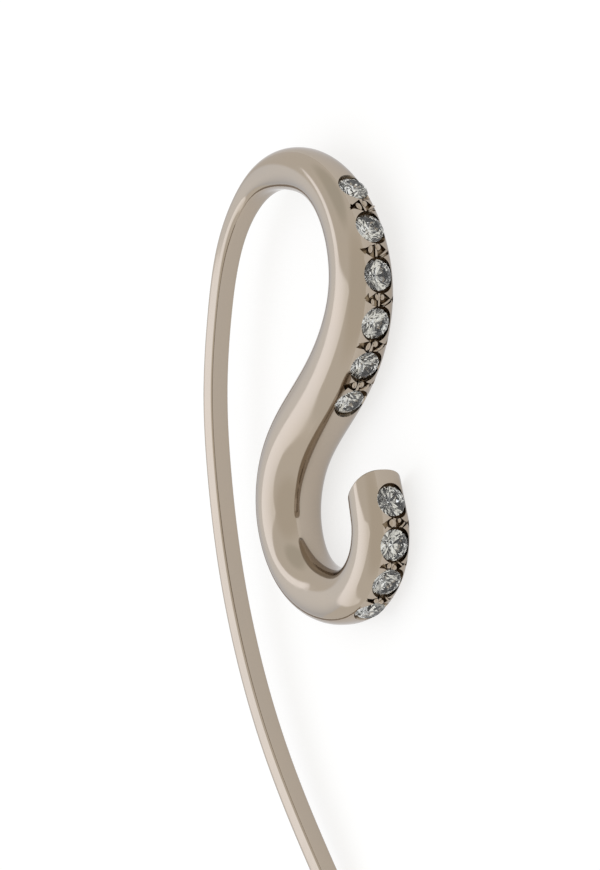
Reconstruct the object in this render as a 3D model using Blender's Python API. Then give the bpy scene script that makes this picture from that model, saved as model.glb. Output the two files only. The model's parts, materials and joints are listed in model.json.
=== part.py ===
"""A hook earring: one cast metal hook with two rows of round brilliants set flush in its front.

Metres, +Z up. The hook lies on its side. It is modelled first with its curve in the plane Z = 0, where +X is
the front of the hook, +Y is up as it is worn and +Z is across its flanks. An empty then gives every piece the
small lean at which the hook rests, and sets the whole on the floor.
"""

import math

import bmesh
import bpy
import numpy as np
from mathutils import Matrix, Vector

MM = 0.001

# The curve of the hook, between centre lines
REACH = 16.45 * MM  # from the back of the ear wire to the front of the tip
RISE = 21.35 * MM  # from the bottom bend to the top of the arch
WIRE_DROP = 14.9 * MM  # from the bottom bend down to the end of the ear wire

# The metal: width is across the flanks, thickness is in the plane of the curve
BODY_WIDTH = 3.34 * MM
BODY_THICKNESS = 3.42 * MM
WIRE_WIDTH = 1.06 * MM
WIRE_THICKNESS = 0.8 * MM
WIRE_END_ROUNDING = 0.2 * MM
TIP_CUT_LEAN = math.radians(42)  # lean of the flat cut at the tip from square across the upright
TIP_EDGE = 0.12 * MM  # rounding at the edge of that cut

# The stones
STONE_DIAMETER = 1.56 * MM
STONE_SINK = 0.17 * MM  # top of the girdle below the crest of the metal, which leaves the table about level
SEAT_CLEARANCE = 0.05 * MM
UPPER_SIDESTEP = 0.17 * MM  # the upper row lies this far to one side of the crest
UPPER_START = 1.52 * MM  # from the shoulder, along the outer face, to the first stone
UPPER_PITCH = 2.45 * MM
UPPER_SPOTS = (0, 1.07, 2.1, 3.11, 4.07, 5.03)  # how many pitches on each stone lies, as set by hand
LOWER_SIDESTEP = 0.1 * MM
LOWER_START = 1.23 * MM  # from the tip, along the outer face, to the first stone
LOWER_PITCH = 2.17 * MM
LOWER_SPOTS = (0, 1.04, 2.0, 3.02)

# Proportions of a round brilliant, as shares of its diameter
TABLE_SHARE = 0.57
GIRDLE_SHARE = 0.03
LOWER_HALF_SHARE = 0.12  # radius at which the lower halves end
UPPER_HALF_SHARE = 0.39  # radius at which the upper halves end
CROWN_ANGLE = math.radians(34)
PAVILION_ANGLE = math.radians(40.8)

# The pair of grains between two stones, and the pointed cut on each side of the pair
GRAIN_LENGTH = 0.42 * MM  # along the band
GRAIN_WIDTH = 0.34 * MM
GRAIN_HEIGHT = 0.34 * MM
GRAIN_SINK = 0.06 * MM  # middle of a grain below the crest of the metal
GRAIN_SPREAD = 0.4 * MM  # between the middles of the two grains
CUT_REACH = 1.02 * MM  # from the middle of the band out to the point of a cut
CUT_LENGTH = 0.56 * MM  # along the band, where a cut is widest
CUT_DEPTH = 0.2 * MM

# The lean at which the hook rests on its flank
REST_LEAN_X = math.radians(1.2)
REST_LEAN_Y = math.radians(1.45)

# Finishes, as the photo shows them
GOLD_COLOUR = (0.42, 0.36, 0.295)
GOLD_ROUGHNESS = 0.12
DIAMOND_COLOUR = (0.95, 0.96, 0.97)
DIAMOND_IOR = 2.42

# How finely the shapes are divided
RING_POINTS = 24
WIRE_STEP = 1.2 * MM
BODY_STEP = 0.65 * MM
GIRDLE_SIDES = 16
GRAIN_SEGMENTS = 8
GRAIN_RINGS = 5
CREST_POINTS = 400
ABOVE = 0.5 * MM  # how far a cutter stands clear of the surface that it cuts
SHARP_ANGLE = math.radians(35)

# One row for each place on the hook, from the end of the ear wire to the tip.
# forward: share of REACH. up: share of RISE, or below the bottom bend of WIRE_DROP.
# width, thickness: 0 is the ear wire's and 1 the body's. left, right: how square the section is on the left
# and on the right of the way along the hook, where 2 is round.
PLACES = """
    place         forward  up      width  thickness  left  right
    wire_end      0.735    -1.000  0.00   0.00       6.0   6.0
    wire_low      0.529    -0.748  0.00   0.00       6.0   6.0
    wire_bow      0.342    -0.480  0.00   0.00       6.0   6.0
    wire_rise     0.195    -0.196  0.00   0.00       6.0   6.0
    wire_middle   0.090    0.068   0.00   0.00       6.0   6.0
    wire_back     0.025    0.277   0.00   0.00       6.0   6.0
    wire_rear     0.000    0.465   0.00   0.00       6.0   6.0
    wire_neck     0.027    0.662   0.00   0.00       6.0   6.0
    arch_foot     0.102    0.836   0.05   0.05       4.5   5.0
    arch_back     0.264    0.958   0.20   0.19       3.0   3.5
    arch_top      0.478    0.995   0.45   0.51       2.3   2.3
    shoulder      0.718    0.940   0.61   0.64       2.3   2.1
    brow          0.857    0.812   0.77   0.83       2.5   2.1
    front         0.885    0.711   0.87   0.92       2.6   2.1
    waist_front   0.796    0.547   0.97   0.98       2.5   2.1
    waist         0.632    0.427   1.00   1.00       2.3   2.1
    hip           0.487    0.304   1.00   1.00       2.1   2.1
    back          0.456    0.192   0.95   0.93       2.1   2.1
    heel          0.524    0.071   0.86   0.84       2.1   2.1
    bottom        0.714    0.000   0.78   0.78       2.1   2.3
    toe           0.894    0.017   0.74   0.76       2.1   2.5
    curl          0.985    0.089   0.73   0.77       2.1   2.6
    curl_front    0.998    0.164   0.71   0.76       2.1   2.6
    tip           0.962    0.250   0.68   0.72       2.1   2.5
"""


def read_places():
    """The names of the places and their numbers, one row for each place."""
    lines = [line.split() for line in PLACES.strip().splitlines()]
    names = [line[0] for line in lines[1:]]
    return names, np.array([[float(value) for value in line[1:]] for line in lines[1:]])


def full_size(shares):
    """Turns the shares of a row into a position and half sizes in metres, and keeps its squareness."""
    forward, up, width, thickness, left, right = shares.T
    return np.stack(
        [
            forward * REACH,
            up * np.where(up > 0, RISE, WIRE_DROP),
            (WIRE_WIDTH + width * (BODY_WIDTH - WIRE_WIDTH)) / 2,
            (WIRE_THICKNESS + thickness * (BODY_THICKNESS - WIRE_THICKNESS)) / 2,
            left,
            right,
        ],
        axis=1,
    )


class Spline:
    """A natural cubic through rows of numbers, measured by the distance between their first two columns."""

    def __init__(self, rows):
        self.rows = rows
        self.knots = np.concatenate([[0], np.cumsum(np.linalg.norm(np.diff(rows[:, :2], axis=0), axis=1))])
        gaps = np.diff(self.knots)
        slopes = np.diff(rows, axis=0) / gaps[:, None]
        system = np.eye(len(rows))
        target = np.zeros_like(rows)
        for i in range(1, len(rows) - 1):
            system[i, i - 1 : i + 2] = gaps[i - 1], 2 * (gaps[i - 1] + gaps[i]), gaps[i]
            target[i] = 6 * (slopes[i] - slopes[i - 1])
        self.bends = np.linalg.solve(system, target)

    def at(self, distance):
        i = np.clip(np.searchsorted(self.knots, distance) - 1, 0, len(self.knots) - 2)
        gap = self.knots[i + 1] - self.knots[i]
        after = (distance - self.knots[i]) / gap
        before = 1 - after
        bend = (before**3 - before) * self.bends[i] + (after**3 - after) * self.bends[i + 1]
        return before * self.rows[i] + after * self.rows[i + 1] + bend * gap**2 / 6

    def heading(self, distance):
        """The unit vector along the hook, in its plane."""
        nudge = self.knots[-1] / 100000
        step = self.at(distance + nudge)[:2] - self.at(distance - nudge)[:2]
        return step / np.linalg.norm(step)


def ring_distances(line, names):
    """Where the rings of the loft stand: closer together on the body than on the wire."""
    first_body = names.index("wire_neck")
    stops = [0.0]
    for i, (start, end) in enumerate(zip(line.knots[:-1], line.knots[1:])):
        step = WIRE_STEP if i < first_body else BODY_STEP
        count = max(1, round((end - start) / step))
        stops += [start + (end - start) * k / count for k in range(1, count + 1)]
    return stops


def section(half_width, half_thickness, left, right):
    """Points round the section: a share to the left in the plane of the curve, and a height across it."""
    points = []
    for k in range(RING_POINTS):
        turn = 2 * math.pi * k / RING_POINTS
        power = 2 / max(2, left if math.cos(turn) > 0 else right)
        side = math.copysign(abs(math.cos(turn)) ** power, math.cos(turn))
        rise = math.copysign(abs(math.sin(turn)) ** power, math.sin(turn))
        points.append((side * half_thickness, rise * half_width))
    return points


def ring_at(line, distance, inset=0.0):
    """The corners of one ring, drawn in by the inset on every side."""
    x, y, half_width, half_thickness, left, right = line.at(distance)
    along_x, along_y = line.heading(distance)
    points = section(half_width - inset, half_thickness - inset, left, right)
    return [Vector((x - along_y * side, y + along_x * side, rise)) for side, rise in points]


def slide_to_plane(points, direction, place, normal):
    """Moves each point along the direction until it lies in the plane."""
    return [p + direction * ((place - p).dot(normal) / direction.dot(normal)) for p in points]


def tip_rings(line):
    """The last rings: the full section short of the cut, and the section drawn in on the flat cut itself."""
    end = line.knots[-1]
    place = Vector((*line.at(end)[:2], 0))
    along = Vector((*line.heading(end), 0))
    normal = Vector((-math.sin(TIP_CUT_LEAN), math.cos(TIP_CUT_LEAN), 0))
    rim = slide_to_plane(ring_at(line, end), along, place - normal * TIP_EDGE, normal)
    face = slide_to_plane(ring_at(line, end, TIP_EDGE), along, place, normal)
    return [rim, face]


def add_ring(mesh, points):
    return [mesh.verts.new(point) for point in points]


def bridge(mesh, ring, following):
    count = len(ring)
    for k in range(count):
        mesh.faces.new((ring[k], ring[(k + 1) % count], following[(k + 1) % count], following[k]))


def lofted_hook(line, names):
    """The hook before its seats are cut: rings along the curve, a rounded wire end and a flat tip."""
    room_for_cut = BODY_THICKNESS / 2
    rings = []
    for turn in (0, math.pi / 4, math.pi / 2):
        inset = WIRE_END_ROUNDING * (1 - math.sin(turn))
        rings.append(ring_at(line, WIRE_END_ROUNDING * (1 - math.cos(turn)), inset))
    for stop in ring_distances(line, names):
        if WIRE_END_ROUNDING < stop < line.knots[-1] - room_for_cut:
            rings.append(ring_at(line, stop))
    rings += tip_rings(line)
    mesh = bmesh.new()
    made = [add_ring(mesh, ring) for ring in rings]
    for ring, following in zip(made[:-1], made[1:]):
        bridge(mesh, ring, following)
    mesh.faces.new(reversed(made[0]))
    mesh.faces.new(made[-1])
    bmesh.ops.recalc_face_normals(mesh, faces=mesh.faces)
    return finished_mesh(mesh, "ear_hook")


def finished_mesh(mesh, name):
    """The mesh's data, shaded smooth but for its crisp edges."""
    data = bpy.data.meshes.new(name)
    mesh.to_mesh(data)
    mesh.free()
    data.shade_smooth()
    data.set_sharp_from_angle(angle=SHARP_ANGLE)
    return data


def hull_mesh(points, name):
    """The closed solid that a skin stretched over the points would have."""
    mesh = bmesh.new()
    for point in points:
        mesh.verts.new(point)
    made = bmesh.ops.convex_hull(mesh, input=mesh.verts)
    loose = [item for item in made["geom_interior"] if isinstance(item, bmesh.types.BMVert)]
    bmesh.ops.delete(mesh, geom=loose, context="VERTS")
    bmesh.ops.recalc_face_normals(mesh, faces=mesh.faces)
    return finished_mesh(mesh, name)


def circle(radius, height, count, turn=0.0):
    angles = [turn + 2 * math.pi * k / count for k in range(count)]
    return [Vector((radius * math.cos(a), radius * math.sin(a), height)) for a in angles]


def brilliant_mesh():
    """A round brilliant, its girdle's top at Z = 0 and its table up: each ring lies on the main facets."""
    radius = STONE_DIAMETER / 2
    table = STONE_DIAMETER * TABLE_SHARE / 2
    girdle = STONE_DIAMETER * GIRDLE_SHARE
    upper = STONE_DIAMETER * UPPER_HALF_SHARE
    lower = STONE_DIAMETER * LOWER_HALF_SHARE
    half_turn = math.pi / 8
    crown = math.tan(CROWN_ANGLE)
    pavilion = math.tan(PAVILION_ANGLE)
    points = circle(table, (radius - table) * crown, 8)
    points += circle(upper, (radius - upper * math.cos(half_turn)) * crown, 8, half_turn)
    points += circle(radius, 0.0, GIRDLE_SIDES)
    points += circle(radius, -girdle, GIRDLE_SIDES)
    points += circle(lower, -girdle - (radius - lower * math.cos(half_turn)) * pavilion, 8, half_turn)
    points.append(Vector((0, 0, -girdle - radius * pavilion)))
    return hull_mesh(points, "round_brilliant")


def seat_mesh():
    """What is cut away for one stone: a bore down to the girdle and a cone under it."""
    radius = STONE_DIAMETER / 2 + SEAT_CLEARANCE
    depth = STONE_DIAMETER * GIRDLE_SHARE + SEAT_CLEARANCE
    point = depth + radius * math.tan(PAVILION_ANGLE) + SEAT_CLEARANCE
    points = circle(radius, STONE_SINK + ABOVE, GIRDLE_SIDES) + circle(radius, -depth, GIRDLE_SIDES)
    return hull_mesh(points + [Vector((0, 0, -point))], "seat")


def cut_mesh():
    """The cut beside a pair of grains: widest and deepest at the grains, and pointed away from them."""
    near = GRAIN_SPREAD / 2 + GRAIN_WIDTH / 4
    points = []
    for height in (-CUT_DEPTH / 2, ABOVE):
        points += [Vector((end * CUT_LENGTH / 2, near, height)) for end in (-1, 1)]
        points.append(Vector((0, CUT_REACH, height - CUT_DEPTH)))
    points.append(Vector((0, near, -CUT_DEPTH)))
    return hull_mesh(points, "pointed_cut")


def grain_mesh():
    """One grain: a small long bead of the hook's own metal."""
    mesh = bmesh.new()
    bmesh.ops.create_uvsphere(mesh, u_segments=GRAIN_SEGMENTS, v_segments=GRAIN_RINGS, radius=1)
    bmesh.ops.scale(mesh, vec=(GRAIN_LENGTH / 2, GRAIN_WIDTH / 2, GRAIN_HEIGHT / 2), verts=mesh.verts)
    return finished_mesh(mesh, "grain")


def outer_line(line, start, end, side):
    """The crest of the band between two distances: side is 1 on the left of the way along, or -1."""
    points = []
    for distance in np.linspace(start, end, CREST_POINTS):
        x, y, _, half_thickness, _, _ = line.at(distance)
        along_x, along_y = line.heading(distance)
        points.append((x - side * along_y * half_thickness, y + side * along_x * half_thickness))
    return np.array(points)


def point_on(crest, walked, reached):
    return np.array([np.interp(reached, walked, crest[:, axis]) for axis in (0, 1)])


def seat_frames(crest, spots, sidestep):
    """Matrices at the given walks along the crest: X runs along the band, Y across it and Z out of the metal."""
    walked = np.concatenate([[0], np.cumsum(np.linalg.norm(np.diff(crest, axis=0), axis=1))])
    reach = STONE_DIAMETER / 4  # the band's direction is that of a chord of half a stone
    frames = []
    for spot in spots:
        step = point_on(crest, walked, spot + reach) - point_on(crest, walked, spot - reach)
        along = Vector((*step, 0)).normalized()
        out = Vector((-along.y, along.x, 0))
        turned = Matrix((along, out.cross(along), out)).transposed().to_4x4()
        frames.append(Matrix.Translation((*point_on(crest, walked, spot), -sidestep)) @ turned)
    return frames


def new_collection(name):
    made = bpy.data.collections.new(name)
    bpy.context.scene.collection.children.link(made)
    return made


def place(name, data, collection, parent, matrix=None):
    """A new object under the parent, at the matrix in the parent's own space."""
    made = bpy.data.objects.new(name, data)
    made.parent = parent
    made.matrix_local = matrix or Matrix()
    collection.objects.link(made)
    return made


def hide_helpers(collection):
    for helper in collection.objects:
        helper.hide_render = True
        helper.display_type = "WIRE"


def boolean(target, operation, collection):
    modifier = target.modifiers.new(collection.name, "BOOLEAN")
    modifier.operation = operation
    modifier.operand_type = "COLLECTION"
    modifier.collection = collection
    modifier.solver = "EXACT"


def principled(name, colour):
    """A new material and its shader."""
    made = bpy.data.materials.new(name)
    made.use_nodes = True
    shader = made.node_tree.nodes["Principled BSDF"]
    shader.inputs["Base Color"].default_value = (*colour, 1)
    return made, shader


def gold_material():
    made, shader = principled("gold", GOLD_COLOUR)
    shader.inputs["Metallic"].default_value = 1
    shader.inputs["Roughness"].default_value = GOLD_ROUGHNESS
    return made


def diamond_material():
    made, shader = principled("diamond", DIAMOND_COLOUR)
    shader.inputs["Transmission Weight"].default_value = 1
    shader.inputs["Roughness"].default_value = 0
    shader.inputs["IOR"].default_value = DIAMOND_IOR
    return made


def set_stones(frames, first_number, meshes, collections, parent):
    """Places the stones of one row, each over its seat."""
    sink = Matrix.Translation((0, 0, -STONE_SINK))
    for number, frame in enumerate(frames, first_number):
        place(f"stone_{number:02d}", meshes["stone"], collections["object"], parent, frame @ sink)
        place(f"seat_{number:02d}", meshes["seat"], collections["cuts"], parent, frame @ sink)


def set_gaps(frames, row_name, meshes, collections, parent):
    """A pair of grains at each frame, with a pointed cut on each side of the pair."""
    for k, frame in enumerate(frames, 1):
        for side, side_name in ((-1, "left"), (1, "right")):
            outward = frame @ Matrix.Rotation(0 if side > 0 else math.pi, 4, "Z")
            place(f"{row_name}_cut_{k}_{side_name}", meshes["cut"], collections["cuts"], parent, outward)
            spot = Matrix.Translation((0, side * GRAIN_SPREAD / 2, -GRAIN_SINK))
            name = f"{row_name}_grain_{k}_{side_name}"
            place(name, meshes["grain"], collections["grains"], parent, frame @ spot)


def settle(rest, collection):
    """Gives the hook its resting lean, and puts the origin under the middle of its box."""
    rest.rotation_euler = (REST_LEAN_X, REST_LEAN_Y, 0)
    bpy.context.view_layer.update()
    graph = bpy.context.evaluated_depsgraph_get()
    points = []
    for piece in collection.objects:
        seen = piece.evaluated_get(graph)
        points += [seen.matrix_world @ corner.co for corner in seen.to_mesh().vertices]
        seen.to_mesh_clear()
    low, high = np.min(points, axis=0), np.max(points, axis=0)
    middle = (low + high) / 2
    rest.location = (-middle[0], -middle[1], -low[2])


def clear_scene():
    for found in list(bpy.data.objects):
        bpy.data.objects.remove(found, do_unlink=True)


def main():
    clear_scene()
    names, shares = read_places()
    line = Spline(full_size(shares))
    distance = dict(zip(names, line.knots))
    collections = {
        "object": new_collection("hook_earring"),
        "cuts": new_collection("cuts"),
        "grains": new_collection("grains"),
    }
    meshes = {
        "stone": brilliant_mesh(),
        "seat": seat_mesh(),
        "cut": cut_mesh(),
        "grain": grain_mesh(),
    }
    meshes["stone"].materials.append(diamond_material())
    rest = bpy.data.objects.new("rest_pose", None)
    bpy.context.scene.collection.objects.link(rest)

    hook = place("ear_hook", lofted_hook(line, names), collections["object"], rest)
    upper = outer_line(line, distance["shoulder"], distance["hip"], 1)
    lower = outer_line(line, distance["tip"], distance["bottom"], -1)
    rows = (
        ("upper", upper, UPPER_START, UPPER_PITCH, UPPER_SPOTS, UPPER_SIDESTEP, 1),
        ("lower", lower, LOWER_START, LOWER_PITCH, LOWER_SPOTS, LOWER_SIDESTEP, 1 + len(UPPER_SPOTS)),
    )
    for name, crest, start, pitch, shares, sidestep, first_number in rows:
        spots = [start + share * pitch for share in shares]
        middles = [(before + after) / 2 for before, after in zip(spots[:-1], spots[1:])]
        set_stones(seat_frames(crest, spots, sidestep), first_number, meshes, collections, rest)
        set_gaps(seat_frames(crest, middles, sidestep), name, meshes, collections, rest)
    boolean(hook, "DIFFERENCE", collections["cuts"])
    boolean(hook, "UNION", collections["grains"])
    hook.data.materials.append(gold_material())
    hide_helpers(collections["cuts"])
    hide_helpers(collections["grains"])
    settle(rest, collections["object"])


main()
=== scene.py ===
"""The looks of the hook earring: fine metal, seats and grains, brilliants, a pale table and soft light.

Metres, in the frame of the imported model. The metal is drawn first in the hook's own frame, where its curve
lies in the plane Z = 0 with +X at the front and +Y up as worn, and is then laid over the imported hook.
"""

import json
import math

import bmesh
import bpy
import numpy as np
from mathutils import Euler, Matrix, Vector
from mathutils.bvhtree import BVHTree

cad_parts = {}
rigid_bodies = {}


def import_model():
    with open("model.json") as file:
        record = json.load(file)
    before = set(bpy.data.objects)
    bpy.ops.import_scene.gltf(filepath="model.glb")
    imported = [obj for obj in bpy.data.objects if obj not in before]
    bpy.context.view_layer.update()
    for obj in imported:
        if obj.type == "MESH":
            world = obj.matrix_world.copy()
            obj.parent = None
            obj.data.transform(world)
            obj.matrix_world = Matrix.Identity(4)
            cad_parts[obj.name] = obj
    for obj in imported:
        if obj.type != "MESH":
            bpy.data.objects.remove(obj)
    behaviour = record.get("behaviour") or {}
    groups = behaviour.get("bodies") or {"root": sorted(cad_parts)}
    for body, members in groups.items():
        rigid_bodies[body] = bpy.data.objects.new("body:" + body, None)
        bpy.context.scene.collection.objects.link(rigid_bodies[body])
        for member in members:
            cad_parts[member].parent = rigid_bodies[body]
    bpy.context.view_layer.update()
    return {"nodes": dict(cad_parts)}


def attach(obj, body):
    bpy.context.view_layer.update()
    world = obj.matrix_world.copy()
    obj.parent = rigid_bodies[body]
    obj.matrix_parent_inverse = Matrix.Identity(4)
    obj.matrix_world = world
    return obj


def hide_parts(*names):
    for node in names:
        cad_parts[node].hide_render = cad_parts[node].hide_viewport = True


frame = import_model()

MM = 0.001

# The curve of the hook and its metal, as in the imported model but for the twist
REACH = 16.45 * MM
RISE = 21.35 * MM
WIRE_DROP = 14.9 * MM
BODY_WIDTH = 3.34 * MM
BODY_THICKNESS = 3.42 * MM
WIRE_WIDTH = 1.06 * MM
WIRE_THICKNESS = 0.8 * MM
WIRE_END_ROUNDING = 0.2 * MM
WIRE_TWIST = math.radians(5)  # the flat wire leans a little towards the upper flank
WIRE_TWIST_END = 0.8 * MM  # half the hook's width where the twist has gone
TIP_CUT_LEAN = math.radians(42)
TIP_EDGE = 0.12 * MM

# The stones and their rows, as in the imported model
STONE_DIAMETER = 1.56 * MM
STONE_SINK = 0.17 * MM
TABLE_SHARE = 0.57
UPPER_HALF_SHARE = 0.39  # how far out the upper halves end
LOWER_HALF_SHARE = 0.12  # how far out the lower halves end
GIRDLE_SHARE = 0.03
CROWN_ANGLE = math.radians(34)
PAVILION_ANGLE = math.radians(40.8)
UPPER_SIDESTEP = 0.17 * MM
UPPER_START = 1.52 * MM
UPPER_PITCH = 2.45 * MM
UPPER_SPOTS = (0, 1.07, 2.1, 3.11, 4.07, 5.03)
LOWER_SIDESTEP = 0.1 * MM
LOWER_START = 1.23 * MM
LOWER_PITCH = 2.17 * MM
LOWER_SPOTS = (0, 1.04, 2.0, 3.02)
REST_LEAN_X = math.radians(1.2)
REST_LEAN_Y = math.radians(1.45)

# What the fine metal adds
SEAT_GAP = 0.08 * MM  # between a stone and the wall of its seat
SEAT_FLARE = 0.24 * MM  # how much wider each bore is at the top of its cutter
SEAT_SHIFT = 0.12 * MM  # each seat is bored this far to the side that the rows lean to
ABOVE = 0.5 * MM  # how far each bore's cutter stands out of the metal
BEAD_SINK = 0.06 * MM
BEAD_HEIGHT = 0.34 * MM
BURR_SINK = 0.08 * MM
BURR_HEIGHT = 0.42 * MM
FIELD_DEPTH = 0.2 * MM
FIELD_CORNERS = ((0, -1), (1, 0.9), (-1, 0.9))
FIELD_ENDS = ((2, 0.62), (-1, 0.4))  # height and size of a field's cutter at its top and its floor
BAND_ROUND = {"upper": 1.6 * MM, "lower": 1.36 * MM}  # how round the metal is across each row

# How finely it is divided
RING_POINTS = 96
SECTION_STEPS = 720
HEADING_STEPS = 100000  # in the hook's length: its heading at a place is found from one step to either side
WIRE_STEP = 0.5 * MM
BODY_STEP = 0.16 * MM
TIP_ROUNDS = 6
SEAT_SIDES = 64
BEAD_SIDES = 24
BEAD_RINGS = 14
MAIN_FACETS = 8
GIRDLE_SIDES = 16
FACET_ANGLE = math.radians(0.5)  # faces of a stone that lean less than this are one facet
BACK_SLOPE = -0.1  # a facet is at the stone's back where its normal's height is under this
TINT_SEED = 60
CREST_POINTS = 800
SHARP_ANGLE = math.radians(32)
SAME_SPOT = 0.0005 * MM

# The materials. A noise is its bumps to the metre and its detail, and a roughness goes from smooth to dull.
NOISE_SPAN = (0.3, 0.7)  # nearly all of a noise lies between these
GOLD_WARM_COLOUR = (0.435, 0.366, 0.294)
GOLD_COOL_COLOUR = (0.41, 0.356, 0.297)
GOLD_EDGE_COLOUR = (0.8, 0.8, 0.82)
GOLD_PATCHES = (350, 3)
GOLD_WAVES = (210, 1)
GOLD_WAVE_HEIGHT = 0.012 * MM
GOLD_LINES = (2600, 4)
GOLD_LINE_STRETCH = (1, 0.12, 1)
GOLD_LINE_HEIGHT = 0.0006 * MM
GOLD_ROUGHNESS = (0.06, 0.12)
# The cut metal's brown is painted shade: it darkens the metal the deeper it lies, in place of the shade in
# the seats and between the stones.
CUT_SHADE_DARK_COLOUR = (0.17, 0.125, 0.08)
CUT_SHADE_PALE_COLOUR = (0.3, 0.235, 0.16)
CUT_GRAIN = (9000, 2)
CUT_DEPTHS = (0.02, 0.14)  # in mm under the plain metal, from polished to brown
CUT_ADDED_ROUGHNESS = 0.2
STONE_IOR = 2.1
STONE_GLINT_COLOUR = (0.5, 0.5, 0.5)
STONE_COOL_COLOUR = (0.93, 0.95, 0.97)
STONE_CLEAR_COLOUR = (1, 1, 1)
STONE_CLOUDS = (1500, 2)
STONE_LINES = (12000, 2)
STONE_LINE_STRETCH = (1, 0.1, 1)
STONE_LINE_HEIGHT = 0.0004 * MM
STONE_ROUGHNESS = (0.0, 0.03)
# The back facets are mirrors whose dark and pale colours are painted reflection, in place of the dark and
# bright light a real stone sends back.
BACK_PAINTED_DARK_COLOUR = (0.04, 0.04, 0.045)
BACK_PAINTED_PALE_COLOUR = (0.88, 0.88, 0.86)
BACK_REFLECTION_TINTS = (0.1, 0.55)  # from the darkest facets to the palest
BACK_GRAIN = (6000, 2)
BACK_ROUGHNESS = (0.0, 0.05)
FLOOR_DARK_COLOUR = (0.29, 0.29, 0.29)
FLOOR_PALE_COLOUR = (0.31, 0.31, 0.31)
FLOOR_GLOW_COLOUR = (1, 1, 1)
FLOOR_GLOW = 0.7
FLOOR_CLOUDS = (60, 2)
FLOOR_GRAIN = (400, 2)
FLOOR_ROUGHNESS = (0.85, 0.95)
FLOOR_RADIUS = 800 * MM
FLOOR_SIDES = 96

# The sockets of a colour mix, by number, because other sockets of the node share their names
MIX_SHARE = 0
MIX_FIRST = 6
MIX_SECOND = 7
MIX_RESULT = 2

# The camera: where the middle of the picture lies on the hook, and how it is looked at
PICTURE_MIDDLE = Vector((8.648, 7.91, 0)) * MM
VIEW_TURN = math.radians(30)  # off the front of the hook, towards its upper flank
CAMERA_DISTANCE = 320 * MM
PICTURE_WIDTH = 30 * MM  # what the picture's width takes in at the hook
SENSOR_WIDTH = 36  # in mm, as the camera counts it
CLIP_START = 10 * MM
CLIP_END = 10000 * MM

# The light of the studio. A direction is degrees from the camera to the picture's left, and degrees towards
# its top. A panel's corners, in order round it, also have the softness in degrees of the edge that follows. A
# reach is the cosine of the angle from a direction, from where its colour starts to where it is full.
TO_CAMERA = (0, 0)
STUDIO_COLOUR = (0.98, 0.965, 0.93)
CAMERA_SIDE_COLOUR = (0.87, 0.84, 0.78)
CAMERA_SIDE_REACH = (0.45, 0.85)
DIM_CORNER = (78, 58)
DIM_CORNER_COLOUR = (0.8, 0.79, 0.74)
DIM_CORNER_REACH = (0.86, 0.97)
PANEL_EDGE = (118, 0)
WEAK_PANEL_COLOURS = ((0.9, 0.94, 1.0), (1.2, 1.24, 1.29))  # far from PANEL_EDGE and near it
WEAK_PANEL_REACH = (0.84, 1.0)
STRONG_PANEL_COLOURS = ((1.32, 1.34, 1.36), (1.72, 1.78, 1.92))
STRONG_PANEL_REACH = (0.55, 1.0)
STRONG_PANEL = ((109.5, -31, 1.5), (115, 7.5, 3), (56, 6.5, 5), (48, 1, 5), (85, -32, 2))
STRONG_PANEL_FOOT = ((109, -26, 2), (101, -73, 4), (79, -73, 5), (83, -26, 4))
STRONG_PANEL_TOP = ((115, 6, 1.5), (117, 22, 5), (98, 8, 2))
WEAK_PANEL = ((156, -29, 3), (156, 8, 6), (115, 8, 1), (109.5, -31, 2))

# One row for each place on the hook: shares of REACH, of RISE or WIRE_DROP, of the way from the wire's width
# and thickness to the body's, and how square the section is on its left and right. All is as in the packed
# model but for the wire, which is squarer, and the left of brow and front, which is a little rounder.
PLACES = """
    place         forward  up      width  thickness  left  right
    wire_end      0.735    -1.000  0.00   0.00       9.0   9.0
    wire_low      0.529    -0.748  0.00   0.00       9.0   9.0
    wire_bow      0.342    -0.480  0.00   0.00       9.0   9.0
    wire_rise     0.195    -0.196  0.00   0.00       9.0   9.0
    wire_middle   0.090    0.068   0.00   0.00       9.0   9.0
    wire_back     0.025    0.277   0.00   0.00       9.0   9.0
    wire_rear     0.000    0.465   0.00   0.00       9.0   9.0
    wire_neck     0.027    0.662   0.00   0.00       9.0   9.0
    arch_foot     0.102    0.836   0.05   0.05       4.5   5.0
    arch_back     0.264    0.958   0.20   0.19       3.0   3.5
    arch_top      0.478    0.995   0.45   0.51       2.3   2.3
    shoulder      0.718    0.940   0.61   0.64       2.3   2.1
    brow          0.857    0.812   0.77   0.83       2.4   2.1
    front         0.885    0.711   0.87   0.92       2.4   2.1
    waist_front   0.796    0.547   0.97   0.98       2.5   2.1
    waist         0.632    0.427   1.00   1.00       2.3   2.1
    hip           0.487    0.304   1.00   1.00       2.1   2.1
    back          0.456    0.192   0.95   0.93       2.1   2.1
    heel          0.524    0.071   0.86   0.84       2.1   2.1
    bottom        0.714    0.000   0.78   0.78       2.1   2.3
    toe           0.894    0.017   0.74   0.76       2.1   2.5
    curl          0.985    0.089   0.73   0.77       2.1   2.6
    curl_front    0.998    0.164   0.71   0.76       2.1   2.6
    tip           0.962    0.250   0.68   0.72       2.1   2.5
"""

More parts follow.
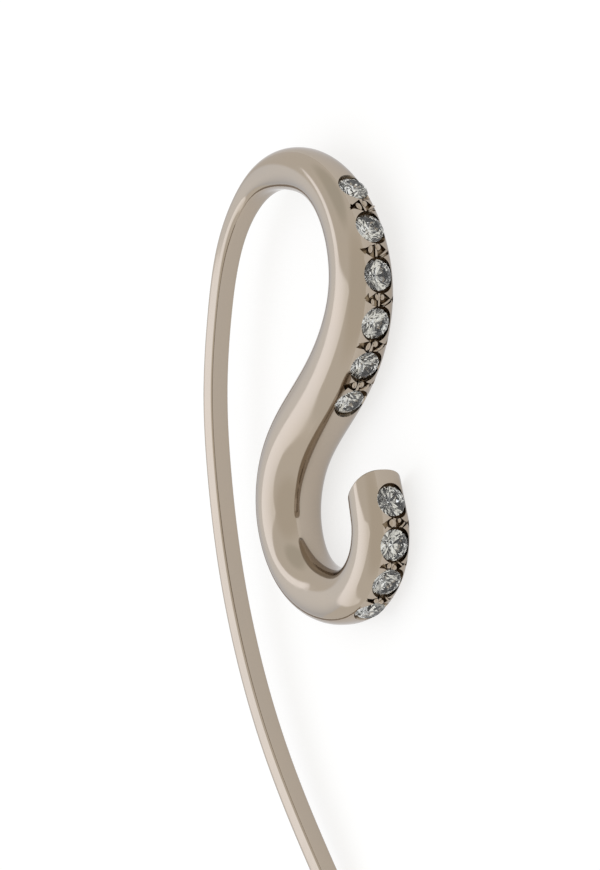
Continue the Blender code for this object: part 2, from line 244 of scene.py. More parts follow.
# The marks between the stones, in mm from the middle of each gap: along is down the row, across is round the
# band towards the lower flank, and turn is in degrees. A field is sunk, and pointed towards the upper flank
# at turn 0 and the lower at 180: wide ones are the ground round the beads, small ones the notches at the ends
# of a gap, and narrow ones the grooves beside the burrs.
MARKS = """
    kind   row    gap  along  across  length  width  turn
    field  upper  1    0.08   -0.42   0.86    0.80   6
    field  upper  1    0.14   -0.66   0.40    0.34   40
    field  upper  1    0.00   0.42    0.94    0.92   180
    field  upper  1    -0.04  1.10    0.50    0.60   8
    bead   upper  1    0.08   -0.30   0.50    0.30   14
    bead   upper  1    -0.08  0.08    0.42    0.30   -6
    field  upper  1    0.23   0.56    0.20    0.94   32
    burr   upper  1    0.12   0.46    0.68    0.15   -58
    field  upper  2    0.06   -0.42   0.90    0.82   -8
    field  upper  2    0.00   -0.70   0.38    0.36   -24
    field  upper  2    0.00   0.42    1.00    0.94   176
    field  upper  2    -0.04  1.14    0.54    0.62   -6
    bead   upper  2    -0.04  -0.32   0.48    0.30   -16
    bead   upper  2    -0.14  0.12    0.40    0.32   8
    field  upper  2    0.22   0.56    0.22    1.00   33
    burr   upper  2    0.11   0.46    0.74    0.16   -57
    field  upper  3    0.02   -0.38   0.90    0.76   4
    field  upper  3    -0.08  -0.66   0.46    0.26   12
    field  upper  3    -0.02  0.42    0.96    0.92   180
    field  upper  3    0.00   1.14    0.56    0.60   0
    bead   upper  3    0.12   -0.36   0.40    0.24   10
    bead   upper  3    -0.12  -0.14   0.40    0.24   24
    bead   upper  3    -0.12  0.16    0.34    0.26   0
    field  upper  3    0.21   0.54    0.20    0.90   28
    burr   upper  3    0.10   0.44    0.66    0.15   -62
    field  upper  4    -0.06  -0.38   0.86    0.78   -12
    field  upper  4    0.02   -0.66   0.40    0.34   22
    field  upper  4    -0.02  0.44    0.90    0.94   182
    field  upper  4    -0.04  1.12    0.50    0.58   6
    bead   upper  4    0.00   -0.22   0.50    0.28   -10
    bead   upper  4    -0.14  0.16    0.36    0.30   10
    field  upper  4    0.19   0.56    0.20    0.94   30
    burr   upper  4    0.08   0.46    0.70    0.15   -60
    field  upper  5    -0.06  -0.42   0.82    0.78   0
    field  upper  5    0.04   -0.68   0.36    0.32   -26
    field  upper  5    -0.02  0.42    0.88    0.88   180
    field  upper  5    -0.02  1.08    0.46    0.56   -4
    bead   upper  5    -0.08  -0.26   0.46    0.30   8
    bead   upper  5    -0.12  0.12    0.38    0.30   -8
    field  upper  5    0.19   0.52    0.18    0.84   30
    burr   upper  5    0.08   0.42    0.62    0.15   -60
    field  lower  1    0.06   -0.38   0.74    0.68   4
    field  lower  1    0.12   -0.58   0.32    0.28   -30
    field  lower  1    -0.02  0.36    0.78    0.82   178
    field  lower  1    0.00   0.96    0.46    0.48   -6
    bead   lower  1    0.02   -0.16   0.44    0.42   0
    bead   lower  1    -0.10  0.22    0.28    0.22   -10
    field  lower  1    0.17   0.50    0.16    0.72   38
    burr   lower  1    0.08   0.42    0.52    0.12   -52
    field  lower  2    0.02   -0.36   0.64    0.66   -4
    field  lower  2    0.06   -0.58   0.30    0.28   26
    field  lower  2    -0.02  0.40    0.68    0.84   184
    field  lower  2    0.00   0.98    0.42    0.46   4
    bead   lower  2    -0.02  -0.22   0.36    0.28   -12
    bead   lower  2    0.08   0.10    0.30    0.26   6
    burr   lower  2    -0.08  0.42    0.50    0.12   54
    field  lower  3    0.02   -0.40   0.66    0.72   8
    field  lower  3    -0.04  -0.62   0.30    0.28   -24
    field  lower  3    0.00   0.36    0.70    0.84   180
    field  lower  3    0.02   0.96    0.42    0.46   -4
    bead   lower  3    0.00   -0.22   0.34    0.28   12
    bead   lower  3    0.08   0.10    0.30    0.26   -6
    burr   lower  3    -0.08  0.40    0.48    0.12   50
"""


def read_table(table):
    """The rows of a table as dictionaries: numbers where they are numbers, or else words."""
    lines = [line.split() for line in table.strip().splitlines()]
    rows = []
    for line in lines[1:]:
        values = [value if value[0].isalpha() else float(value) for value in line]
        rows.append(dict(zip(lines[0], values)))
    return rows


class Spline:
    """A natural cubic through rows of numbers, measured by the distance between their first two columns."""

    def __init__(self, rows):
        self.rows = rows
        self.knots = np.concatenate([[0], np.cumsum(np.linalg.norm(np.diff(rows[:, :2], axis=0), axis=1))])
        gaps = np.diff(self.knots)
        slopes = np.diff(rows, axis=0) / gaps[:, None]
        system = np.eye(len(rows))
        target = np.zeros_like(rows)
        for i in range(1, len(rows) - 1):
            system[i, i - 1 : i + 2] = gaps[i - 1], 2 * (gaps[i - 1] + gaps[i]), gaps[i]
            target[i] = 6 * (slopes[i] - slopes[i - 1])
        self.bends = np.linalg.solve(system, target)

    def at(self, distance):
        i = np.clip(np.searchsorted(self.knots, distance) - 1, 0, len(self.knots) - 2)
        gap = self.knots[i + 1] - self.knots[i]
        after = (distance - self.knots[i]) / gap
        before = 1 - after
        bend = (before**3 - before) * self.bends[i] + (after**3 - after) * self.bends[i + 1]
        return before * self.rows[i] + after * self.rows[i + 1] + bend * gap**2 / 6

    def heading(self, distance):
        """The unit vector along the hook, in its plane."""
        nudge = self.knots[-1] / HEADING_STEPS
        step = self.at(distance + nudge)[:2] - self.at(distance - nudge)[:2]
        return step / np.linalg.norm(step)


def hook_line():
    """The hook's spline, and the distance along it of each named place."""
    rows = read_table(PLACES)
    sizes = []
    for row in rows:
        up = row["up"] * (RISE if row["up"] > 0 else WIRE_DROP)
        half_width = (WIRE_WIDTH + row["width"] * (BODY_WIDTH - WIRE_WIDTH)) / 2
        half_thickness = (WIRE_THICKNESS + row["thickness"] * (BODY_THICKNESS - WIRE_THICKNESS)) / 2
        sizes.append((row["forward"] * REACH, up, half_width, half_thickness, row["left"], row["right"]))
    line = Spline(np.array(sizes))
    return line, dict(zip([row["place"] for row in rows], line.knots))


def half_section(half_width, half_thickness, squareness):
    """Evenly spaced points over one half of the section, from its top to its bottom."""
    turns = np.linspace(0, math.pi, SECTION_STEPS + 1)
    power = 2 / max(2, squareness)
    side = np.abs(np.sin(turns)) ** power * half_thickness
    rise = np.sign(np.cos(turns)) * np.abs(np.cos(turns)) ** power * half_width
    walked = np.concatenate([[0], np.cumsum(np.hypot(np.diff(side), np.diff(rise)))])
    stops = np.linspace(0, walked[-1], RING_POINTS // 2 + 1)[:-1]
    return np.interp(stops, walked, side), np.interp(stops, walked, rise)


def wire_twist(half_width):
    """How far the section leans to the upper flank: all of the twist on the wire, and none on the body."""
    share = (WIRE_TWIST_END - half_width) / (WIRE_TWIST_END - WIRE_WIDTH / 2)
    return WIRE_TWIST * np.clip(share, 0, 1)


def ring_at(line, distance, inset=0.0):
    """The corners of one ring, drawn in by the inset on every side."""
    x, y, half_width, half_thickness, left, right = line.at(distance)
    along_x, along_y = line.heading(distance)
    left_side, left_rise = half_section(half_width - inset, half_thickness - inset, left)
    right_side, right_rise = half_section(half_width - inset, half_thickness - inset, right)
    sides = np.concatenate([left_side, -right_side])
    rises = np.concatenate([left_rise, -right_rise])
    twist = wire_twist(half_width)
    leaning_sides = sides * math.cos(twist) - rises * math.sin(twist)
    leaning_rises = sides * math.sin(twist) + rises * math.cos(twist)
    corners = zip(leaning_sides, leaning_rises)
    return [Vector((x - along_y * side, y + along_x * side, rise)) for side, rise in corners]


def ring_distances(line, distance):
    """Where the rings stand: closer together on the body than on the wire."""
    stops = []
    for start, end in zip(line.knots[:-1], line.knots[1:]):
        step = WIRE_STEP if end <= distance["wire_neck"] else BODY_STEP
        count = max(1, round((end - start) / step))
        stops += [start + (end - start) * k / count for k in range(1, count + 1)]
    return stops


def slide_to_plane(points, direction, place, normal):
    """Moves each point along the direction until it lies in the plane."""
    return [p + direction * ((place - p).dot(normal) / direction.dot(normal)) for p in points]


def tip_rings(line):
    """The rounded edge of the flat cut at the tip, from the full section to the cut itself."""
    end = line.knots[-1]
    place = Vector((*line.at(end)[:2], 0))
    along = Vector((*line.heading(end), 0))
    normal = Vector((-math.sin(TIP_CUT_LEAN), math.cos(TIP_CUT_LEAN), 0))
    rings = []
    for k in range(TIP_ROUNDS + 1):
        turn = math.pi / 2 * k / TIP_ROUNDS
        inset = TIP_EDGE * (1 - math.cos(turn))
        below = TIP_EDGE * (1 - math.sin(turn))
        rings.append(slide_to_plane(ring_at(line, end, inset), along, place - normal * below, normal))
    return rings


def plain_hook(line, distance):
    """The metal before anything is cut into it."""
    rings = []
    for k in range(TIP_ROUNDS + 1):
        turn = math.pi / 2 * k / TIP_ROUNDS
        inset = WIRE_END_ROUNDING * (1 - math.sin(turn))
        rings.append(ring_at(line, WIRE_END_ROUNDING * (1 - math.cos(turn)), inset))
    room_for_cut = BODY_THICKNESS / 2
    for stop in ring_distances(line, distance):
        if WIRE_END_ROUNDING < stop < line.knots[-1] - room_for_cut:
            rings.append(ring_at(line, stop))
    rings += tip_rings(line)
    mesh = bmesh.new()
    made = [[mesh.verts.new(point) for point in ring] for ring in rings]
    for ring, following in zip(made[:-1], made[1:]):
        for k in range(RING_POINTS):
            after = (k + 1) % RING_POINTS
            mesh.faces.new((ring[k], ring[after], following[after], following[k]))
    mesh.faces.new(reversed(made[0]))
    mesh.faces.new(made[-1])
    bmesh.ops.recalc_face_normals(mesh, faces=mesh.faces)
    return finished_mesh(mesh, "metal")


def finished_mesh(mesh, name):
    """Turns the mesh being built into data, smooth but for its sharp edges."""
    data = bpy.data.meshes.new(name)
    mesh.to_mesh(data)
    mesh.free()
    data.shade_smooth()
    data.set_sharp_from_angle(angle=SHARP_ANGLE)
    return data


def hull_mesh(points, name, flat=False):
    """The solid inside a skin stretched over the points: flat keeps each facet whole and flat."""
    mesh = bmesh.new()
    for point in points:
        mesh.verts.new(point)
    made = bmesh.ops.convex_hull(mesh, input=mesh.verts)
    loose = [item for item in made["geom_interior"] if isinstance(item, bmesh.types.BMVert)]
    bmesh.ops.delete(mesh, geom=loose, context="VERTS")
    bmesh.ops.recalc_face_normals(mesh, faces=mesh.faces)
    if not flat:
        return finished_mesh(mesh, name)
    bmesh.ops.dissolve_limit(mesh, angle_limit=FACET_ANGLE, verts=mesh.verts, edges=mesh.edges)
    data = finished_mesh(mesh, name)
    data.shade_flat()
    return data


def circle(radius, height, count, turn=0.0):
    """Points evenly round the Z axis, the first of them turned from the X axis by turn."""
    angles = [turn + 2 * math.pi * k / count for k in range(count)]
    return [Vector((radius * math.cos(a), radius * math.sin(a), height)) for a in angles]


def seat_mesh():
    """What is cut away for one stone: a bore down to the girdle and a cone under it."""
    radius = STONE_DIAMETER / 2 + SEAT_GAP
    depth = STONE_DIAMETER * GIRDLE_SHARE + SEAT_GAP
    point = depth + radius * math.tan(PAVILION_ANGLE) + SEAT_GAP
    points = circle(radius + SEAT_FLARE, STONE_SINK + ABOVE, SEAT_SIDES) + circle(radius, -depth, SEAT_SIDES)
    return hull_mesh(points + [Vector((0, 0, -point))], "seat")


def crest_line(line, start, end, side):
    """The outermost line of the band between two distances: side is 1 on the left of the way along, or -1."""
    points = []
    for stop in np.linspace(start, end, CREST_POINTS):
        x, y, _, half_thickness, _, _ = line.at(stop)
        along_x, along_y = line.heading(stop)
        points.append((x - side * along_y * half_thickness, y + side * along_x * half_thickness))
    return np.array(points)


def point_on(crest, walked, reached):
    """The crest's point where this much of it has been walked."""
    return np.array([np.interp(reached, walked, crest[:, axis]) for axis in (0, 1)])


def seat_frames(crest, spots, sidestep):
    """Frames at the given walks along the crest: X along the band, Y across it and Z out of the metal."""
    walked = np.concatenate([[0], np.cumsum(np.linalg.norm(np.diff(crest, axis=0), axis=1))])
    quarter = STONE_DIAMETER / 4
    frames = []
    for spot in spots:
        step = point_on(crest, walked, spot + quarter) - point_on(crest, walked, spot - quarter)
        along = Vector((*step, 0)).normalized()
        out = Vector((-along.y, along.x, 0))
        turned = Matrix((along, out.cross(along), out)).transposed().to_4x4()
        frames.append(Matrix.Translation((*point_on(crest, walked, spot), -sidestep)) @ turned)
    return frames


def band_frames(line, distance):
    """For each row of stones, the frames of its stones and of the gaps between them."""
    upper = crest_line(line, distance["shoulder"], distance["hip"], 1)
    lower = crest_line(line, distance["tip"], distance["bottom"], -1)
    rows = {
        "upper": (upper, UPPER_START, UPPER_PITCH, UPPER_SPOTS, UPPER_SIDESTEP),
        "lower": (lower, LOWER_START, LOWER_PITCH, LOWER_SPOTS, LOWER_SIDESTEP),
    }
    frames = {}
    for name, (crest, start, pitch, shares, sidestep) in rows.items():
        spots = [start + share * pitch for share in shares]
        middles = [(before + after) / 2 for before, after in zip(spots[:-1], spots[1:])]
        frames[name] = (seat_frames(crest, spots, sidestep), seat_frames(crest, middles, sidestep))
    return frames


def new_collection(name):
    made = bpy.data.collections.new(name)
    bpy.context.scene.collection.children.link(made)
    return made


def put(name, data, collection, matrix=None):
    made = bpy.data.objects.new(name, data)
    made.matrix_world = matrix or Matrix()
    collection.objects.link(made)
    return made


def bead_mesh():
    """A ball 1 across, which each bead and burr stretches to its own size."""
    mesh = bmesh.new()
    bmesh.ops.create_uvsphere(mesh, u_segments=BEAD_SIDES, v_segments=BEAD_RINGS, radius=0.5)
    return finished_mesh(mesh, "bead")


def field_mesh():
    """What sinks the ground on one side of a gap: pointed at one end, and a little narrower at its floor."""
    points = []
    for height, size in FIELD_ENDS:
        points += [Vector((x * size, y * size, height)) for x, y in FIELD_CORNERS]
    return hull_mesh(points, "field")


def brilliant_points():
    """The corners of a round brilliant, its girdle's top at Z = 0."""
    radius = STONE_DIAMETER / 2
    table = radius * TABLE_SHARE
    girdle = STONE_DIAMETER * GIRDLE_SHARE
    upper = STONE_DIAMETER * UPPER_HALF_SHARE
    lower = STONE_DIAMETER * LOWER_HALF_SHARE
    half_turn = math.pi / MAIN_FACETS
    crown = math.tan(CROWN_ANGLE)
    pavilion = math.tan(PAVILION_ANGLE)
    upper_rise = (radius - upper * math.cos(half_turn)) * crown
    lower_drop = (radius - lower * math.cos(half_turn)) * pavilion
    points = circle(table, (radius - table) * crown, MAIN_FACETS)
    points += circle(upper, upper_rise, MAIN_FACETS, half_turn)
    points += circle(radius, 0.0, GIRDLE_SIDES)
    points += circle(radius, -girdle, GIRDLE_SIDES)
    points += circle(lower, -girdle - lower_drop, MAIN_FACETS, half_turn)
    points.append(Vector((0, 0, -girdle - radius * pavilion)))
    return points


def brilliant_mesh(number):
    """One stone: each back facet keeps how pale its painted reflection is, in an order drawn for the stone's
    number.
    """
    data = hull_mesh(brilliant_points(), "brilliant", flat=True)
    chance = np.random.RandomState(TINT_SEED + number)
    back = [face for face in data.polygons if face.normal.z < BACK_SLOPE]
    painted_reflection = data.attributes.new("painted_reflection", "FLOAT", "FACE")
    for face, rank in zip(back, chance.permutation(len(back))):
        face.material_index = 1
        painted_reflection.data[face.index].value = (rank + 0.5) / len(back)
    return data


def on_band(gap, reach, along, across, turn):
    """A place on the rounded metal near a gap: across is walked round the band, and leans it outwards."""
    down = Matrix.Translation((0, 0, -reach))
    lean = Matrix.Rotation(-across / reach, 4, "X")
    out = Matrix.Translation((along, 0, reach))
    return gap @ down @ lean @ out @ Matrix.Rotation(math.radians(turn), 4, "Z")


def place_seats(frames, cutters):
    """Puts in place what bores the stones' seats."""
    seat = seat_mesh()
    shift = Matrix.Translation((0, 0, -SEAT_SHIFT))
    sink = Matrix.Translation((0, 0, -STONE_SINK))
    for name, (stones, _) in frames.items():
        for k, stone in enumerate(stones):
            put(f"{name}_seat_{k}", seat, cutters, shift @ stone @ sink)


def place_marks(frames, cutters, raised):
    """Puts in place what sinks the ground between the stones, and the beads and burrs to be raised there."""
    bead = bead_mesh()
    kinds = {
        "field": (field_mesh(), cutters, FIELD_DEPTH, 0.0),
        "bead": (bead, raised, BEAD_HEIGHT, BEAD_SINK),
        "burr": (bead, raised, BURR_HEIGHT, BURR_SINK),
    }
    for k, mark in enumerate(read_table(MARKS)):
        data, collection, height, sink = kinds[mark["kind"]]
        gap = frames[mark["row"]][1][int(mark["gap"]) - 1]
        spot = on_band(gap, BAND_ROUND[mark["row"]], mark["along"] * MM, mark["across"] * MM, mark["turn"])
        size = Matrix.Diagonal((mark["length"] * MM, mark["width"] * MM, height, 1))
        put(f"mark_{k}", data, collection, spot @ Matrix.Translation((0, 0, -sink)) @ size)


def cut_and_raise(metal, frames):
    """Bores the seats, sinks the ground between the stones, and joins the beads and burrs to the metal."""
    corners = [corner.co for corner in metal.data.vertices]
    plain = BVHTree.FromPolygons(corners, [tuple(face.vertices) for face in metal.data.polygons])
    cutters = new_collection("cutters")
    raised = new_collection("raised")
    place_seats(frames, cutters)
    place_marks(frames, cutters, raised)
    for operation, collection in (("DIFFERENCE", cutters), ("UNION", raised)):
        modifier = metal.modifiers.new(collection.name, "BOOLEAN")
        modifier.operation = operation
        modifier.operand_type = "COLLECTION"
        modifier.collection = collection
        modifier.solver = "MANIFOLD"
    made = applied_mesh(metal)
    for collection in (cutters, raised):
        for helper in list(collection.objects):
            bpy.data.objects.remove(helper)
        bpy.data.collections.remove(collection)
    mark_depth(made, plain)


def mark_depth(data, plain):
    """Keeps in each corner how far it lies under the plain metal, in mm, where polish doesn't reach and
    painted shade darkens the metal.
    """
    depth = data.attributes.new("depth", "FLOAT", "POINT")
    for corner in data.vertices:
        spot, normal, _, _ = plain.find_nearest(corner.co)
        depth.data[corner.index].value = max(0.0, (spot - corner.co).dot(normal)) / MM


def drop_slivers(data):
    """Joins corners that share a spot, and drops the flat pairs of faces that this leaves."""
    mesh = bmesh.new()
    mesh.from_mesh(data)
    bmesh.ops.remove_doubles(mesh, verts=mesh.verts, dist=SAME_SPOT)
    bmesh.ops.dissolve_degenerate(mesh, edges=mesh.edges, dist=SAME_SPOT)
    bmesh.ops.triangulate(mesh, faces=mesh.faces)
    alike = {}
    for face in mesh.faces:
        alike.setdefault(frozenset(face.verts), []).append(face)
    doubled = [face for faces in alike.values() if len(faces) > 1 for face in faces]
    bmesh.ops.delete(mesh, geom=doubled, context="FACES")
    mesh.to_mesh(data)
    mesh.free()


def applied_mesh(piece):
    """The piece's mesh with its modifiers applied."""
    graph = bpy.context.evaluated_depsgraph_get()
    made = bpy.data.meshes.new_from_object(piece.evaluated_get(graph))
    drop_slivers(made)
    piece.modifiers.clear()
    piece.data = made
    made.shade_smooth()
    made.set_sharp_from_angle(angle=SHARP_ANGLE)
    return made


def rest_pose(frames):
    """How the hook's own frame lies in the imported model: its lean, and a shift found from the stones."""
    lean = Euler((REST_LEAN_X, REST_LEAN_Y, 0)).to_matrix().to_4x4()
    shifts = []
    number = 0
    for stones, _ in frames.values():
        for stone in stones:
            number += 1
            node = frame["nodes"][f"stone_{number:02d}"]
            packed = np.mean([corner.co for corner in node.data.vertices], axis=0)
            shifts.append(Vector(packed) - lean @ stone @ Vector((0, 0, -STONE_SINK)))
    shift = sum(shifts, Vector()) / len(shifts)
    return Matrix.Translation(shift) @ lean


def new_material(name):
    """A new material, with the calls that add nodes to it, and its shader."""
    made = bpy.data.materials.new(name)
    made.use_nodes = True
    return made, Graph(made.node_tree), made.node_tree.nodes["Principled BSDF"]


def gold_material():
    """Polished pale gold: faint waves and fine lines from polishing, and duller metal in the cuts, painted
    brown there as shade that deepens with depth.
    """
    made, graph, shader = new_material("champagne_gold")
    shader.inputs["Metallic"].default_value = 1
    shader.inputs["Specular Tint"].default_value = (*GOLD_EDGE_COLOUR, 1)
    depth = graph.node("Attribute", attribute_name="depth").outputs["Fac"]
    sunk = graph.ramp(depth, *CUT_DEPTHS)
    lines = graph.noise(*GOLD_LINES, stretch=GOLD_LINE_STRETCH)
    polished = graph.mix(graph.noise(*GOLD_PATCHES), (*GOLD_COOL_COLOUR, 1), (*GOLD_WARM_COLOUR, 1))
    # painted shade: dark brown metal the deeper the spot, in place of the shade in the cuts
    brown = graph.mix(graph.noise(*CUT_GRAIN), (*CUT_SHADE_DARK_COLOUR, 1), (*CUT_SHADE_PALE_COLOUR, 1))
    graph.feed(shader.inputs["Base Color"], graph.mix(sunk, polished, brown))
    polish = graph.ramp(lines, *NOISE_SPAN, *GOLD_ROUGHNESS, smooth=False)
    dullness = graph.math("MULTIPLY", sunk, CUT_ADDED_ROUGHNESS)
    graph.feed(shader.inputs["Roughness"], graph.math("ADD", polish, dullness))
    waved = graph.bump(graph.noise(*GOLD_WAVES), GOLD_WAVE_HEIGHT)
    graph.feed(shader.inputs["Normal"], graph.bump(lines, GOLD_LINE_HEIGHT, waved))
    return made


def crown_material():
    """Clear stone, with the faint lines that polishing leaves on its facets."""
    made, graph, shader = new_material("clear_diamond")
    shader.inputs["Transmission Weight"].default_value = 1
    shader.inputs["IOR"].default_value = STONE_IOR
    shader.inputs["Specular Tint"].default_value = (*STONE_GLINT_COLOUR, 1)
    clouds = graph.noise(*STONE_CLOUDS)
    colour = graph.mix(clouds, (*STONE_COOL_COLOUR, 1), (*STONE_CLEAR_COLOUR, 1))
    graph.feed(shader.inputs["Base Color"], colour)
    lines = graph.noise(*STONE_LINES, stretch=STONE_LINE_STRETCH)
    roughness = graph.ramp(lines, *NOISE_SPAN, *STONE_ROUGHNESS, smooth=False)
    graph.feed(shader.inputs["Roughness"], roughness)
    graph.feed(shader.inputs["Normal"], graph.bump(lines, STONE_LINE_HEIGHT))
    return made


def back_material():
    """The stone's back facets, mirrors that send the light back up, each painted with its own reflection:
    some much paler than others.
    """
    made, graph, shader = new_material("diamond_back_painted_reflections")
    shader.inputs["Metallic"].default_value = 1
    painted_reflection = graph.node("Attribute", attribute_name="painted_reflection").outputs["Fac"]
    # painted reflection: a fixed dark or pale mirror colour for each facet
    colour = graph.mix(graph.ramp(painted_reflection, *BACK_REFLECTION_TINTS), (*BACK_PAINTED_DARK_COLOUR, 1), (*BACK_PAINTED_PALE_COLOUR, 1))
    graph.feed(shader.inputs["Base Color"], colour)
    roughness = graph.ramp(graph.noise(*BACK_GRAIN), *NOISE_SPAN, *BACK_ROUGHNESS, smooth=False)
    graph.feed(shader.inputs["Roughness"], roughness)
    return made


def camera_axes():
    """The directions towards the camera and to the picture's right, in the hook's own frame."""
    back = Vector((math.cos(VIEW_TURN), 0, math.sin(VIEW_TURN)))
    right = Vector((math.sin(VIEW_TURN), 0, -math.cos(VIEW_TURN)))
    return back, right


def make_camera(rest):
    lens = SENSOR_WIDTH * CAMERA_DISTANCE / PICTURE_WIDTH
    data = bpy.data.cameras.new("camera")
    data.sensor_fit = "HORIZONTAL"
    data.sensor_width = SENSOR_WIDTH
    data.lens = lens
    data.clip_start = CLIP_START
    data.clip_end = CLIP_END
    camera = bpy.data.objects.new("camera", data)
    bpy.context.scene.collection.objects.link(camera)
    back, right = camera_axes()
    turned = Matrix((right, Vector((0, 1, 0)), back)).transposed().to_4x4()
    camera.matrix_world = rest @ Matrix.Translation(PICTURE_MIDDLE + back * CAMERA_DISTANCE) @ turned
    bpy.context.scene.camera = camera


def table_material():
    """A matt white table that also glows a little, as a lit table does."""
    made, graph, shader = new_material("white_table")
    colour = graph.mix(graph.noise(*FLOOR_CLOUDS), (*FLOOR_DARK_COLOUR, 1), (*FLOOR_PALE_COLOUR, 1))
    graph.feed(shader.inputs["Base Color"], colour)
    shader.inputs["Emission Color"].default_value = (*FLOOR_GLOW_COLOUR, 1)
    shader.inputs["Emission Strength"].default_value = FLOOR_GLOW
    roughness = graph.ramp(graph.noise(*FLOOR_GRAIN), *NOISE_SPAN, *FLOOR_ROUGHNESS, smooth=False)
    graph.feed(shader.inputs["Roughness"], roughness)
    return made


def make_floor():
    """The round table top that the hook lies on."""
    mesh = bmesh.new()
    bmesh.ops.create_circle(mesh, cap_ends=True, segments=FLOOR_SIDES, radius=FLOOR_RADIUS)
    floor = put("floor", finished_mesh(mesh, "floor"), bpy.context.scene.collection)
    floor.data.materials.append(table_material())


class Graph:
    """Short calls that add nodes to a tree: a value may be a number, a vector or another node's socket."""

    def __init__(self, tree):
        self.tree = tree

    def node(self, kind, **settings):
        made = self.tree.nodes.new("ShaderNode" + kind)
        for name, value in settings.items():
            setattr(made, name, value)
        return made

    def feed(self, socket, value):
        if isinstance(value, bpy.types.NodeSocket):
            self.tree.links.new(value, socket)
        else:
            socket.default_value = value

    def math(self, operation, first, second=0.0):
        made = self.node("Math", operation=operation)
        self.feed(made.inputs[0], first)
        self.feed(made.inputs[1], second)
        return made.outputs[0]

    def dot(self, first, second):
        made = self.node("VectorMath", operation="DOT_PRODUCT")
        self.feed(made.inputs[0], first)
        self.feed(made.inputs[1], second)
        return made.outputs["Value"]

    def ramp(self, value, low, high, start=0.0, end=1.0, smooth=True):
        """From start to end as the value goes from low to high."""
        made = self.node("MapRange", interpolation_type="SMOOTHSTEP" if smooth else "LINEAR")
        self.feed(made.inputs["Value"], value)
        for name, number in (("From Min", low), ("From Max", high), ("To Min", start), ("To Max", end)):
            made.inputs[name].default_value = number
        return made.outputs["Result"]

    def noise(self, scale, detail, stretch=(1, 1, 1)):
        """Even noise in the piece's own space, with scale bumps to the metre."""
        mapping = self.node("Mapping")
        mapping.inputs["Scale"].default_value = stretch
        self.feed(mapping.inputs["Vector"], self.node("TexCoord").outputs["Object"])
        made = self.node("TexNoise")
        made.inputs["Scale"].default_value = scale
        made.inputs["Detail"].default_value = detail
        self.feed(made.inputs["Vector"], mapping.outputs["Vector"])
        return made.outputs[0]

    def bump(self, height, size, normal=None):
        made = self.node("Bump")
        made.inputs["Strength"].default_value = 1
        made.inputs["Distance"].default_value = size
        self.feed(made.inputs["Height"], height)
        if normal:
            self.feed(made.inputs["Normal"], normal)
        return made.outputs["Normal"]

    def mix(self, share, first, second):
        made = self.node("Mix", data_type="RGBA")
        self.feed(made.inputs[MIX_SHARE], share)
        self.feed(made.inputs[MIX_FIRST], first)
        self.feed(made.inputs[MIX_SECOND], second)
        return made.outputs[MIX_RESULT]


def sky_direction(rest, turn, lift):
    """The direction that lies turn degrees from the camera to the picture's left, and lift degrees up."""
    turn, lift = math.radians(turn), math.radians(lift)
    back, right = camera_axes()
    flat = back * math.cos(turn) - right * math.sin(turn)
    return (rest.to_3x3() @ (flat * math.cos(lift) + Vector((0, math.sin(lift), 0)))).normalized()


def panel_share(graph, direction, rest, corners):
    """1 inside the panel and 0 outside it: a corner is its turn, its lift and its next edge's softness."""
    share = 1.0
    places = [sky_direction(rest, turn, lift) for turn, lift, _ in corners]
    middle = sum(places, Vector())
    for start, end, (_, _, softness) in zip(places, places[1:] + places[:1], corners):
        inward = start.cross(end).normalized()
        if inward.dot(middle) < 0:
            inward.negate()
        half = math.radians(softness) / 2
        share = graph.math("MULTIPLY", share, graph.ramp(graph.dot(direction, inward), -half, half))
    return share


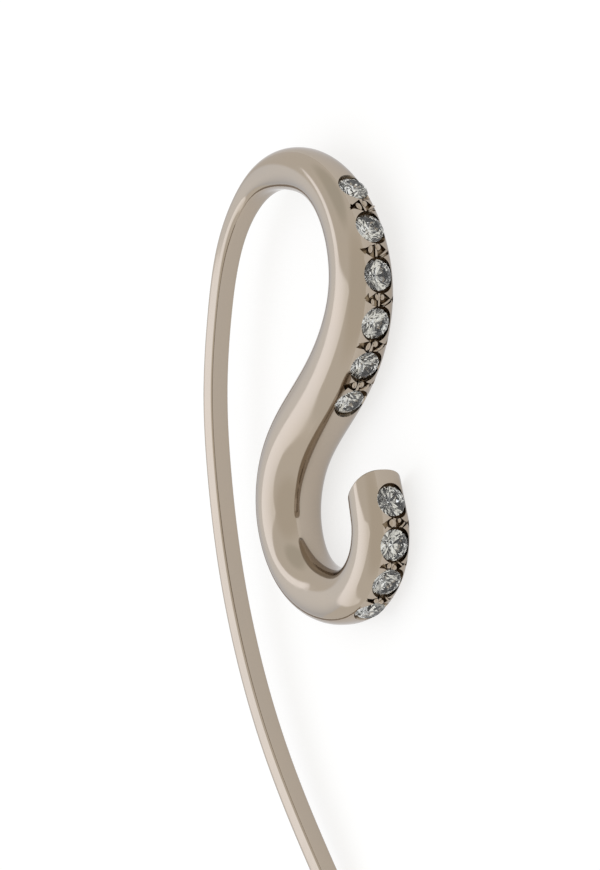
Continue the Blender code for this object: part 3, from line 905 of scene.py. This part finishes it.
def room_light(graph, direction, rest):
    """The studio's own pale light: dimmer round the camera and in one high corner."""
    to_camera = graph.dot(direction, sky_direction(rest, *TO_CAMERA))
    camera_side = graph.ramp(to_camera, *CAMERA_SIDE_REACH)
    light = graph.mix(camera_side, (*STUDIO_COLOUR, 1), (*CAMERA_SIDE_COLOUR, 1))
    to_corner = graph.dot(direction, sky_direction(rest, *DIM_CORNER))
    dim = graph.ramp(to_corner, *DIM_CORNER_REACH)
    return graph.mix(dim, light, (*DIM_CORNER_COLOUR, 1))


def panel_light(graph, to_edge, reach, colours):
    """The light of a panel, from its far colour to its near one towards PANEL_EDGE."""
    far_colour, near_colour = colours
    near = graph.ramp(to_edge, *reach, smooth=False)
    return graph.mix(near, (*far_colour, 1), (*near_colour, 1))


def make_world(rest):
    """A pale studio, with a strong soft panel at the left and a weak one beyond it."""
    world = bpy.data.worlds.new("studio")
    world.use_nodes = True
    graph = Graph(world.node_tree)
    direction = graph.node("TexCoord").outputs["Generated"]
    light = room_light(graph, direction, rest)
    to_edge = graph.dot(direction, sky_direction(rest, *PANEL_EDGE))
    weak_light = panel_light(graph, to_edge, WEAK_PANEL_REACH, WEAK_PANEL_COLOURS)
    light = graph.mix(panel_share(graph, direction, rest, WEAK_PANEL), light, weak_light)
    strong_light = panel_light(graph, to_edge, STRONG_PANEL_REACH, STRONG_PANEL_COLOURS)
    strong = panel_share(graph, direction, rest, STRONG_PANEL)
    for part in (STRONG_PANEL_TOP, STRONG_PANEL_FOOT):
        strong = graph.math("MAXIMUM", strong, panel_share(graph, direction, rest, part))
    light = graph.mix(strong, light, strong_light)
    background = world.node_tree.nodes["Background"]
    graph.feed(background.inputs["Color"], light)
    bpy.context.scene.world = world


line, distance = hook_line()
frames = band_frames(line, distance)
rest = rest_pose(frames)
metal = put("hook_metal", plain_hook(line, distance), bpy.context.scene.collection)
cut_and_raise(metal, frames)
metal.data.transform(rest)
metal.data.materials.clear()
metal.data.materials.append(gold_material())
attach(metal, "root")
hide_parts("ear_hook")
stone_materials = (crown_material(), back_material())
number = 0
for stones, _ in frames.values():
    for stone in stones:
        number += 1
        data = brilliant_mesh(number)
        data.transform(rest @ stone @ Matrix.Translation((0, 0, -STONE_SINK)))
        for material in stone_materials:
            data.materials.append(material)
        brilliant = put(f"brilliant_{number:02d}", data, bpy.context.scene.collection)
        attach(brilliant, "root")
        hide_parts(f"stone_{number:02d}")
make_camera(rest)
make_floor()
make_world(rest)
bpy.context.scene.view_settings.view_transform = "Standard"
